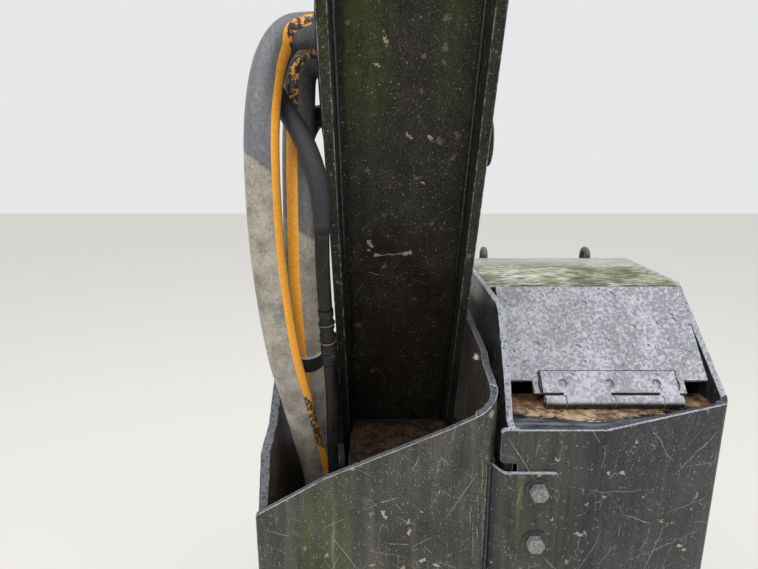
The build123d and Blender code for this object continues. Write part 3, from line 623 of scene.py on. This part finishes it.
def routeLine(name, route):
    curve = bpy.data.curves.new(name, "CURVE")
    curve.dimensions = "3D"
    spline = curve.splines.new("NURBS")
    spline.points.add(len(route) - 1)
    for point, place in zip(spline.points, route):
        point.co = (*[c * mm for c in place], 1)
    spline.order_u = 3
    spline.use_endpoint_u = True
    spline.resolution_u = hoseMesh["resolution"]
    holder = newObject(name, curve)
    line = bakedMesh(holder)
    points = [v.co.copy() for v in line.vertices]
    bpy.data.objects.remove(holder)
    bpy.data.meshes.remove(line)
    return points


def travelAlong(points):
    lengths = [0.0]
    for before, after in zip(points, points[1:]):
        lengths.append(lengths[-1] + (after - before).length)
    return lengths


def pointAt(points, lengths, reach):
    for i in range(1, len(points)):
        if lengths[i] >= reach or i == len(points) - 1:
            return points[i - 1].lerp(points[i], (reach - lengths[i - 1]) / (lengths[i] - lengths[i - 1]))


def meshPiece(name, bm, material):
    bmesh.ops.recalc_face_normals(bm, faces=bm.faces)
    mesh = bpy.data.meshes.new(name)
    bm.to_mesh(mesh)
    bm.free()
    mesh.materials.append(material)
    return newObject(name, mesh)


def seat(piece, body):
    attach(piece, body)


def turnAt(turns, reach):
    for (fromReach, fromTurn), (toReach, toTurn) in zip(turns, turns[1:]):
        if reach < toReach:
            share = max(0, (reach - fromReach) / (toReach - fromReach))
            return radians(fromTurn + (toTurn - fromTurn) * share)
    return radians(turns[-1][1])


def tubeAlong(name, points, radii, firstSide, material, sides=hoseMesh["sides"], turns=((0, 0),)):
    # radii: one number or one a point; the UV's U is 0.5 where firstSide points, turned as turns says:
    # pairs of a length in metres and an angle in degrees
    bm = bmesh.new()
    uvLayer = bm.loops.layers.uv.new("UVMap")
    rings, lengths = [], travelAlong(points)
    side = Vector(firstSide)
    for i, point in enumerate(points):
        tangent = (points[min(i + 1, len(points) - 1)] - points[max(i - 1, 0)]).normalized()
        side = (side - tangent * side.dot(tangent)).normalized()
        other = tangent.cross(side)
        radius = radii if isinstance(radii, float) else radii[i]
        turned = turnAt(turns, lengths[i])
        rings.append([bm.verts.new(point + (side * cos(a) + other * sin(a)) * radius)
                      for a in (2 * pi * (k / sides - 0.5) + turned for k in range(sides))])
    for i in range(len(rings) - 1):
        for k in range(sides):
            nextK = (k + 1) % sides
            face = bm.faces.new((rings[i][k], rings[i][nextK], rings[i + 1][nextK], rings[i + 1][k]))
            face.smooth = True
            for loop, (u, v) in zip(face.loops, ((k, i), (k + 1, i), (k + 1, i + 1), (k, i + 1))):
                loop[uvLayer].uv = (u / sides, lengths[v])
    bm.faces.new(list(reversed(rings[0])))
    bm.faces.new(rings[-1])
    return meshPiece(name, bm, material)


slotOf = {entry["node"]: entry["material_slot"] for entry in frame["record"]["subparts"]}
hoseTubes = {}
for name, look in hoseLooks.items():
    points = routeLine(name + "Line", look["route"])
    lengths = travelAlong(points)
    radii = look["radius"]
    if name == "sleevedHose":
        swell = (radii - sleeveTaper["from"]) / sleeveTaper["over"]
        radii = [min(look["radius"], sleeveTaper["from"] + swell * reach) for reach in lengths]
    tube = tubeAlong(name, points, radii, look["stripeTo"], materials[look["material"]], turns=look["stripeTurn"])
    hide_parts(look["node"])
    hoseTubes[name] = {"tube": tube, "lengths": lengths, "points": points}
    if look["bendFrom"] is None:
        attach(tube, "tower")
    else:
        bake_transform(tube)

# Bands round the hoses: a rubber strap, the sleeve's end, and two wires round the ribbed coupling
bandLooks = [
    # name, hose, from and to in metres along it, thickness over the hose, material, slot
    ("hoseStrap", "secondHose", 0.319, 0.342, 0.0016, "blackRubber", "rubber"),
    ("hoseStrapEdge", "secondHose", 0.3415, 0.3432, 0.0022, "edgeBright", "zinc_bolts"),
    ("sleeveEnd", "sleevedHose", 0.0012, 0.0075, 0.0007, "blackRubber", "rubber"),
    ("lowerHoseEnd", "lowerHose", 0.318, 0.334, 0.0016, "blackPlastic", "coupling_plastic"),
]
bandShape = {"rings": 8, "endShare": 0.45}
onHose = {name: [] for name in hoseLooks}
for name, hose, low, high, over, material, slotName in bandLooks:
    made, look = hoseTubes[hose], hoseLooks[hose]
    rings = bandShape["rings"]
    places = [pointAt(made["points"], made["lengths"], low + (high - low) * ring / rings) for ring in range(rings + 1)]
    hoseRadius = sleeveTaper["from"] if hose == "sleevedHose" else look["radius"]
    radii = [hoseRadius + over * (bandShape["endShare"] if ring in (0, rings) else 1.0) for ring in range(rings + 1)]
    band = tubeAlong(name, places, radii, look["stripeTo"], materials[material])
    seat(band, "tower")
    onHose[hose].append(band)

couplingLow, couplingHigh = Vector((-90, -203, 812)) * mm, Vector((-91, -217, 868)) * mm
# places along the coupling, radii of ring and wire, rise a radian, how far the tail lifts and how long it is
wireLooks = {"places": (0.22, 0.64), "ring": 0.0095, "wire": 0.0007, "rise": 0.0006, "tailLift": 0.001,
             "tailLength": 0.012, "stepDegrees": 10, "steps": 38}
couplingAxis = (couplingHigh - couplingLow).normalized()
across = couplingAxis.orthogonal().normalized()
aside = couplingAxis.cross(across)
for index, share in enumerate(wireLooks["places"]):
    centre = couplingLow.lerp(couplingHigh, share)
    turns = [radians(wireLooks["stepDegrees"] * step) for step in range(wireLooks["steps"])]
    ring = [centre + (across * cos(turn) + aside * sin(turn)) * wireLooks["ring"]
            + couplingAxis * wireLooks["rise"] * turn for turn in turns]
    tail = ring[-1] + (ring[-1] - centre).normalized() * wireLooks["tailLift"]
    wire = tubeAlong(f"couplingWire{index + 1}", ring + [tail, tail + couplingAxis * wireLooks["tailLength"]],
                     wireLooks["wire"], tuple(couplingAxis), materials["pinSteel"], sides=8)
    seat(wire, "tower")
    onHose["sleevedHose"].append(wire)
print("hoses made:", {name: round(made["lengths"][-1], 3) for name, made in hoseTubes.items()})


# Plates: a clean copy of each solid with its arrises eased, the eased strip in its own material
plateLooks = [
    # face material, arris material, and the nodes with their arris in mm
    ("framePaint", "edgeDull", {"foot_plate": 1.5, "inboard_wall": 1.2, "front_plate": 1.2, "hose_bracket": 1.0}),
    ("framePaint", "edgeBright", {"wrap_plate": 1.2, "pin_flag": 1.0}),
    ("linkPaint", "edgeDull", {
        "pocket_floor": 1.0, "link_side_inboard": 1.2, "link_side_outboard": 1.2, "link_front_plate": 1.0}),
    ("pinSteel", "pinSteel", {"pivot_pin": 1.5, "hinge_pin": 0.6}),
    ("linkPaint", "linkPaint", {"link_web": 0.8, "link_lower_hub": 1.0, "link_upper_hub": 1.0}),
    ("blackRubber", "blackRubber", {"hose_grommet": 1.5}),
    ("boxPaint", "edgeBright", {"box_shell": 1.2, "box_inboard_wall": 1.2}),
    ("boxPaint", "edgeDull", {
        "box_front_plate": 1.0, "box_floor": 0.8, "fixing_strip": 0.8, "filler_shelf": 0.6, "filler_neck": 0.6}),
    ("mossyPaint", "edgeDull", {"box_top_plate": 0.8}),
    ("framePaint", "framePaint", {"box_spacers": 0.8, "staple_loops": 0.5}),
    ("rustySilt", "rustySilt", {"trough_plate": 0.5}),
    ("lidPaint", "edgeDull", {"lid_plate": 0.7}),
    ("hingeSteel", "edgeBright", {"lid_hinge_leaf": 0.6, "fixed_hinge_leaf": 0.6}),
    ("zincBolt", "edgeDull", {"strip_bolts": 0.5}),
    ("capPlastic", "capPlastic", {"filler_cap": 0.8}),
    ("zincFitting", "zincFitting", {"hose_fittings": 0.8}),
    ("blackPlastic", "blackPlastic", {"sleeve_coupling": 0.5}),
]
plateWork = {"mergeDistance": 2e-5, "flatAngle": 0.4, "sharpAngle": 32.0, "segments": 2}


def bodyOf(node):
    moves = node.startswith(("link_", "lid_"))
    return "link" if node == "hose_grommet" else node.split("_")[0] if moves else "tower"


def pieceName(node):
    first, *others = node.split("_")
    return first + "".join(word.capitalize() for word in others)


def easedPlate(node, arris, faceMaterial, edgeMaterial):
    bm = bmesh.new()
    bm.from_mesh(frame["nodes"][node].data)
    bmesh.ops.remove_doubles(bm, verts=bm.verts, dist=plateWork["mergeDistance"])
    bmesh.ops.dissolve_limit(bm, angle_limit=radians(plateWork["flatAngle"]), verts=bm.verts, edges=bm.edges)
    bmesh.ops.recalc_face_normals(bm, faces=bm.faces)
    mesh = bpy.data.meshes.new(pieceName(node))
    bm.to_mesh(mesh)
    bm.free()
    mesh.shade_smooth()
    mesh.set_sharp_from_angle(angle=radians(plateWork["sharpAngle"]))
    mesh.materials.clear()
    mesh.materials.append(materials[faceMaterial])
    mesh.materials.append(materials[edgeMaterial])
    piece = newObject(mesh.name, mesh)
    bevel = piece.modifiers.new("arris", "BEVEL")
    bevel.width = arris * mm
    bevel.segments = plateWork["segments"]
    bevel.limit_method = "ANGLE"
    bevel.angle_limit = radians(plateWork["sharpAngle"])
    bevel.material = 1
    bevel.harden_normals = True
    bevel.use_clamp_overlap = True
    return bakeModifiers(piece)


plates = {}
lookOf = {node: (arris, face, edge) for face, edge, nodes in plateLooks for node, arris in nodes.items()}
for node in (node for node in slotOf if node in lookOf):
    plates[node] = easedPlate(node, *lookOf[node])
    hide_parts(node)
    seat(plates[node], bodyOf(node))
print("plates made:", len(plates))

# The hoses' fittings, bare hose and coupling join the lists of pieces that each hose carries
onHose["mainHose"].append(plates["hose_fittings"])
onHose["sleevedHose"] += [hoseTubes["bareHose"]["tube"], plates["sleeve_coupling"]]
for name, look in hoseLooks.items():
    made = hoseTubes[name]


# Weld beads: rippled runs laid in the corners between plates
# y and z where a body's slope starts, and its direction; on the tower the last two numbers are plain y and z
slopes = {"tower": (0, 0, 1, 0), "lid": (-148, 750, 0.68932, 0.72446),
          "link": (145, 440, -sin(radians(25)), cos(radians(25)))}
weldRuns = [
    # name, body, radius in mm, slot, places: x, the way up the body's slope and the way off it, in mm
    ("webWeldInboard", "link", 3.2, "painted_link", [(-76.5, 80, 16.5), (-76.5, 870, 16.5)]),
    ("webWeldOutboard", "link", 3.2, "painted_link", [(76.5, 80, 16.5), (76.5, 870, 16.5)]),
    ("stripWeld", "tower", 2.6, "painted_box", [(100.2, -243.2, 482), (100.2, -243.2, 690)]),
    ("hingeWeldLeft", "lid", 2.1, "weathered_steel",
     [(181.4, -16, 1.0), (179.8, -6, 1.6), (181.8, 4, 1.2), (180.4, 11, 1.4), (184.5, 13.0, 1.2)]),
    ("hingeWeldRight", "lid", 2.1, "weathered_steel",
     [(358.6, -14, 1.0), (360.2, -4, 1.6), (358.0, 5, 1.2), (359.6, 11, 1.4), (354.5, 13.0, 1.2)]),
    ("leafSeam", "lid", 0.8, "weathered_steel", [(183, 13.4, 0.7), (357, 13.4, 0.7)]),
    ("bracketWeld", "tower", 3.0, "painted_frame", [(-163.5, -198, 411.5), (-163.5, 22, 411.5)]),
    ("footWeldInboard", "tower", 4.5, "painted_frame", [(-178.5, -248, 17.5), (-178.5, 248, 17.5)]),
    ("footWeldOutboard", "tower", 4.5, "painted_frame", [(110.5, -218, 17.5), (110.5, 248, 17.5)]),
    ("footWeldRear", "tower", 4.5, "painted_frame", [(-176, -251.5, 17.5), (80, -251.5, 17.5)]),
    ("footWeldFront", "tower", 4.5, "painted_frame", [(-176, 251.5, 17.5), (98, 251.5, 17.5)]),
    ("floorWeldRear", "tower", 3.0, "painted_frame", [(-72, -240.5, 601.5), (70, -240.5, 601.5)]),
    ("frontWeldInboard", "tower", 3.0, "painted_frame", [(-163.5, 238.5, 30), (-163.5, 238.5, 380)]),
    ("shellWeldInboard", "tower", 2.4, "painted_box", [(119.0, -241.0, 305), (119.0, -241.0, 690)]),
]
weldShape = {"step": 0.0017, "ripple": 0.10, "rippleTurn": 2.1, "jitter": 0.06, "endShare": 0.6, "sides": 12}
random.seed(7)
for name, body, radius, slotName, places in weldRuns:
    y, z, upY, upZ = slopes[body]
    corners = [Vector((x, y + way * upY - off * upZ, z + way * upZ + off * upY)) * mm for x, way, off in places]
    reach = travelAlong(corners)
    count = max(6, round(reach[-1] / weldShape["step"]))
    points = [pointAt(corners, reach, reach[-1] * step / count) for step in range(count + 1)]
    radii = []
    for step in range(count + 1):
        swell = weldShape["ripple"] * sin(weldShape["rippleTurn"] * step)
        swell += random.uniform(-1, 1) * weldShape["jitter"]
        radii.append(radius * mm * (1 + swell) * (weldShape["endShare"] if step in (0, count) else 1.0))
    bead = tubeAlong(name, points, radii, (0.3, 0.5, 0.8), materials["weld"], sides=weldShape["sides"])
    seat(bead, body)
print("welds laid:", len(weldRuns))


# A bolt's end with its nut on the pocket's outboard wall
nutLook = {"wall": 101, "y": -128, "z": 774, "across": 12, "thick": 4, "threadRadius": 3, "threadLength": 5.5,
           "taper": 0.93}
nutMesh = bmesh.new()
for sides, radius, thick in ((6, nutLook["across"] / sqrt(3), nutLook["thick"]),
                             (16, nutLook["threadRadius"], nutLook["threadLength"])):
    made = bmesh.ops.create_cone(nutMesh, cap_ends=True, segments=sides, radius1=radius * mm,
                                 radius2=radius * nutLook["taper"] * mm, depth=thick * mm)
    bmesh.ops.rotate(nutMesh, verts=made["verts"], matrix=Matrix.Rotation(radians(-90), 3, "Y"))
    middle = Vector((nutLook["wall"] - thick / 2, nutLook["y"], nutLook["z"])) * mm
    bmesh.ops.translate(nutMesh, verts=made["verts"], vec=middle)
nut = meshPiece("wallNut", nutMesh, materials["brightZinc"])
seat(nut, "tower")


# Soil in the pocket and silt in the trough: closed sheets that swell and thin out to ragged edges
def groundCover(name, low, high, cell, top, heightAt, material, rearAt=None):
    bm = bmesh.new()
    countX, countY = round((high[0] - low[0]) / cell), round((high[1] - low[1]) / cell)
    sheets = []
    for upper in (True, False):
        rows = []
        for i in range(countX + 1):
            x = low[0] + (high[0] - low[0]) * i / countX
            rear = rearAt(x) if rearAt else low[1]
            ys = [rear + (high[1] - rear) * j / countY for j in range(countY + 1)]
            zs = [top + (max(-0.3, heightAt(x, y)) if upper else -0.8) for y in ys]
            rows.append([bm.verts.new((x * mm, y * mm, z * mm)) for y, z in zip(ys, zs)])
        sheets.append(rows)
    for rows in sheets:
        for i in range(countX):
            for j in range(countY):
                bm.faces.new((rows[i][j], rows[i + 1][j], rows[i + 1][j + 1], rows[i][j + 1]))
    borders = [([rows[i][0] for i in range(countX + 1)], [rows[i][-1] for i in range(countX + 1)],
                rows[0], rows[-1]) for rows in sheets]
    for upperLine, lowerLine in zip(*borders):
        for a, b, c, d in zip(upperLine, upperLine[1:], lowerLine[1:], lowerLine):
            bm.faces.new((a, b, c, d))
    for face in bm.faces:
        face.smooth = True
    seat(meshPiece(name, bm, material), "tower")


# heights in mm: broad and small lumps, less a fall to the walls
def soilHeight(x, y):
    fall = min(1.0, (x + 73) / 12, (y + 247) / 8, (30 - y) / 14)
    lump = noise.noise(Vector((x, y, 0)) / 34) * 4.0 + noise.noise(Vector((x, y, 5)) / 9) * 1.6
    return fall * (3.4 + lump + 3.0 * max(0, (-150 - y) / 90)) - 0.6


def rimAt(x):
    return -240 + max(0, (x - 229) * 0.379)


# the silt is thin where the water stands, up to 54 mm from the rim, and at both ends
def siltHeight(x, y):
    fromRim = y - rimAt(x)
    wet = max(26, 54 - 0.175 * (x - 130))
    thickness = 0.7 + noise.noise(Vector((x / 26, y / 26, 2))) * 0.9 + noise.noise(Vector((x / 13, y / 4, 9))) * 1.0
    thickness += noise.noise(Vector((x / 5, y / 2.5, 4))) * 0.5 - 1.8 * max(0, min(1, (wet + 5 - fromRim) / 16))
    thickness -= 1.4 * max(0, (155 - x) / 20) + 1.1 * max(0, (x - 362) / 20)
    return min(1.2 if y < -186 else 0.5, thickness)


groundCover("pocketSoil", (-74, -243), (100, 33), 3.0, 600, soilHeight, materials["soil"])
groundCover("troughSilt", (129, -240), (396, -165), 1.5, 721.885, siltHeight, materials["silt"],
            rimAt)
print("soil laid")


# Rain: drops scattered by Geometry Nodes on copies of the faces that they stand on
def dropGroup():
    group = bpy.data.node_groups.new("waterDrops", "GeometryNodeTree")
    for label, kind in (("Geometry", "Geometry"), ("Density", "Float"), ("Smallest", "Float"), ("Largest", "Float"),
                        ("Seed", "Int"), ("Water", "Material")):
        group.interface.new_socket(label, in_out="INPUT", socket_type="NodeSocket" + kind)
    group.interface.new_socket("Geometry", in_out="OUTPUT", socket_type="NodeSocketGeometry")
    given = addNode("NodeGroupInput", {}, group)
    spread = addNode("GeometryNodeDistributePointsOnFaces", {
        "distribute_method": "POISSON", "Mesh": (given, "Geometry"), "Density Max": (given, "Density"),
        "Distance Min": times((given, "Largest"), 1.7), "Seed": (given, "Seed")})
    ball = addNode("GeometryNodeMeshUVSphere", {"Segments": 14, "Rings": 8, "Radius": 1.0}, group)
    dome = addNode("GeometryNodeTransform", {"Geometry": (ball, "Mesh"), "Scale": (1.0, 1.0, 0.42)})
    size = addNode("FunctionNodeRandomValue", {
        "data_type": "FLOAT", 2: (given, "Smallest"), 3: (given, "Largest"), "Seed": (given, "Seed")})
    placed = addNode("GeometryNodeInstanceOnPoints", {
        "Points": (spread, "Points"), "Instance": (dome, "Geometry"), "Rotation": (spread, "Rotation"),
        "Scale": (size, 1)})
    real = addNode("GeometryNodeRealizeInstances", {"Geometry": (placed, "Instances")})
    smooth = addNode("GeometryNodeSetShadeSmooth", {"Geometry": (real, "Geometry")})
    wet = addNode("GeometryNodeSetMaterial", {"Geometry": (smooth, "Geometry"), "Material": (given, "Water")})
    addNode("NodeGroupOutput", {"Geometry": (wet, "Geometry")})
    return group


drops = dropGroup()
dropLooks = [
    # name, node, facing, least share, low and high z in m, drops per square metre, sizes in mm, seed
    ("lidDrops", "lid_plate", (0, -0.72446, 0.68932), 0.98, (0.74, 0.86), 5200, (0.7, 1.5), 3),
    ("topPlateDrops", "box_top_plate", (0, 0, 1), 0.98, (0.85, 0.86), 2500, (0.7, 1.3), 4),
    ("shellRimDrops", "box_shell", (0, -0.4, 0.92), 0.74, (0.70, 0.86), 60000, (0.6, 1.2), 5),
    ("wallRimDrops", "box_inboard_wall", (0, -0.4, 0.92), 0.74, (0.70, 0.86), 60000, (0.6, 1.2), 6),
    ("wrapRimDrops", "wrap_plate", (0, 0, 1), 0.74, (0.56, 0.84), 30000, (0.5, 1.0), 7),
    ("stripDrops", "fixing_strip", (0, -1, 0), 0.98, (0.48, 0.70), 1600, (0.8, 1.7), 8),
    ("shellDrops", "box_shell", (0, -1, 0), 0.98, (0.50, 0.74), 500, (0.7, 1.4), 9),
]
for name, node, facing, leastShare, (lowZ, highZ), density, (smallest, largest), seed in dropLooks:
    bm = bmesh.new()
    bm.from_mesh(plates[node].data)
    toward = Vector(facing).normalized()
    gone = [face for face in bm.faces if face.normal.dot(toward) < leastShare
            or not lowZ < face.calc_center_median().z < highZ]
    bmesh.ops.delete(bm, geom=gone, context="FACES")
    mesh = bpy.data.meshes.new(name)
    bm.to_mesh(mesh)
    bm.free()
    rain = newObject(name, mesh)
    scatter = rain.modifiers.new("waterDrops", "NODES")
    scatter.node_group = drops
    for label, value in (("Density", float(density)), ("Smallest", smallest * mm), ("Largest", largest * mm),
                         ("Seed", seed), ("Water", materials["water"])):
        scatter[drops.interface.items_tree[label].identifier] = value
    bakeModifiers(rain)
    for vertex in rain.data.vertices:
        vertex.co.x = min(vertex.co.x, cadBox[1][0])      # no drop swells past the outboard face
    seat(rain, bodyOf(node))
    print("drops on", plates[node].name, len(rain.data.vertices) // 100)

# Floor, backdrop and light: a pale floor under an even, overcast sky
stageLook = {"floor": "#d9d7d2", "floorHalf": 8, "skyTop": 1.0, "skyEdge": 0.55, "ground": 0.3,
             "shownSky": "#e6e7e8", "lampsAim": (0.1, 0, 0.8)}
half = stageLook["floorHalf"]
floorMesh = bpy.data.meshes.new("floor")
floorMesh.from_pydata([(-half, -half, 0), (half, -half, 0), (half, half, 0), (-half, half, 0)], [], [(0, 1, 2, 3)])
floorMesh.materials.append(shade(newMaterial("palePaintedFloor")[0], stageLook["floor"], 0.9))
newObject("floor", floorMesh)

# the camera, mirrors and clear water see a plain sky; the part is lit by one that is brighter above
world = bpy.data.worlds.new("overcastSky")
scene.world = world
world.use_nodes = True
height = splitVector((addNode("ShaderNodeTexCoord", {}, world.node_tree), "Generated"))[2]
sky = addRamp(height, [(0.0, stageLook["ground"]), (0.02, stageLook["skyEdge"]), (0.6, stageLook["skyTop"])])
rays = addNode("ShaderNodeLightPath", {}, world.node_tree)
seen = mathNode("MAXIMUM", (rays, "Is Camera Ray"), (rays, "Is Glossy Ray"))
seen = mathNode("MAXIMUM", seen, (rays, "Is Transmission Ray"))
background = world.node_tree.nodes["Background"]
feed(background.inputs["Color"], mixColors(seen, sky, stageLook["shownSky"]))
background.inputs["Strength"].default_value = 1.0

lampLooks = [
    # name, place, size, power
    ("skyPanel", (-0.8, -1.0, 3.2), 2.4, 52.0),
    ("sidePanel", (2.6, -1.4, 2.0), 1.8, 21.0),
]
for name, place, size, power in lampLooks:
    lampData = bpy.data.lights.new(name, "AREA")
    lampData.size = size
    lampData.energy = power
    lamp = newObject(name, lampData)
    lamp.location = place
    lamp.rotation_euler = (Vector(stageLook["lampsAim"]) - Vector(place)).to_track_quat("-Z", "Y").to_euler()
scene.view_settings.view_transform = "Standard"
print("stage made")
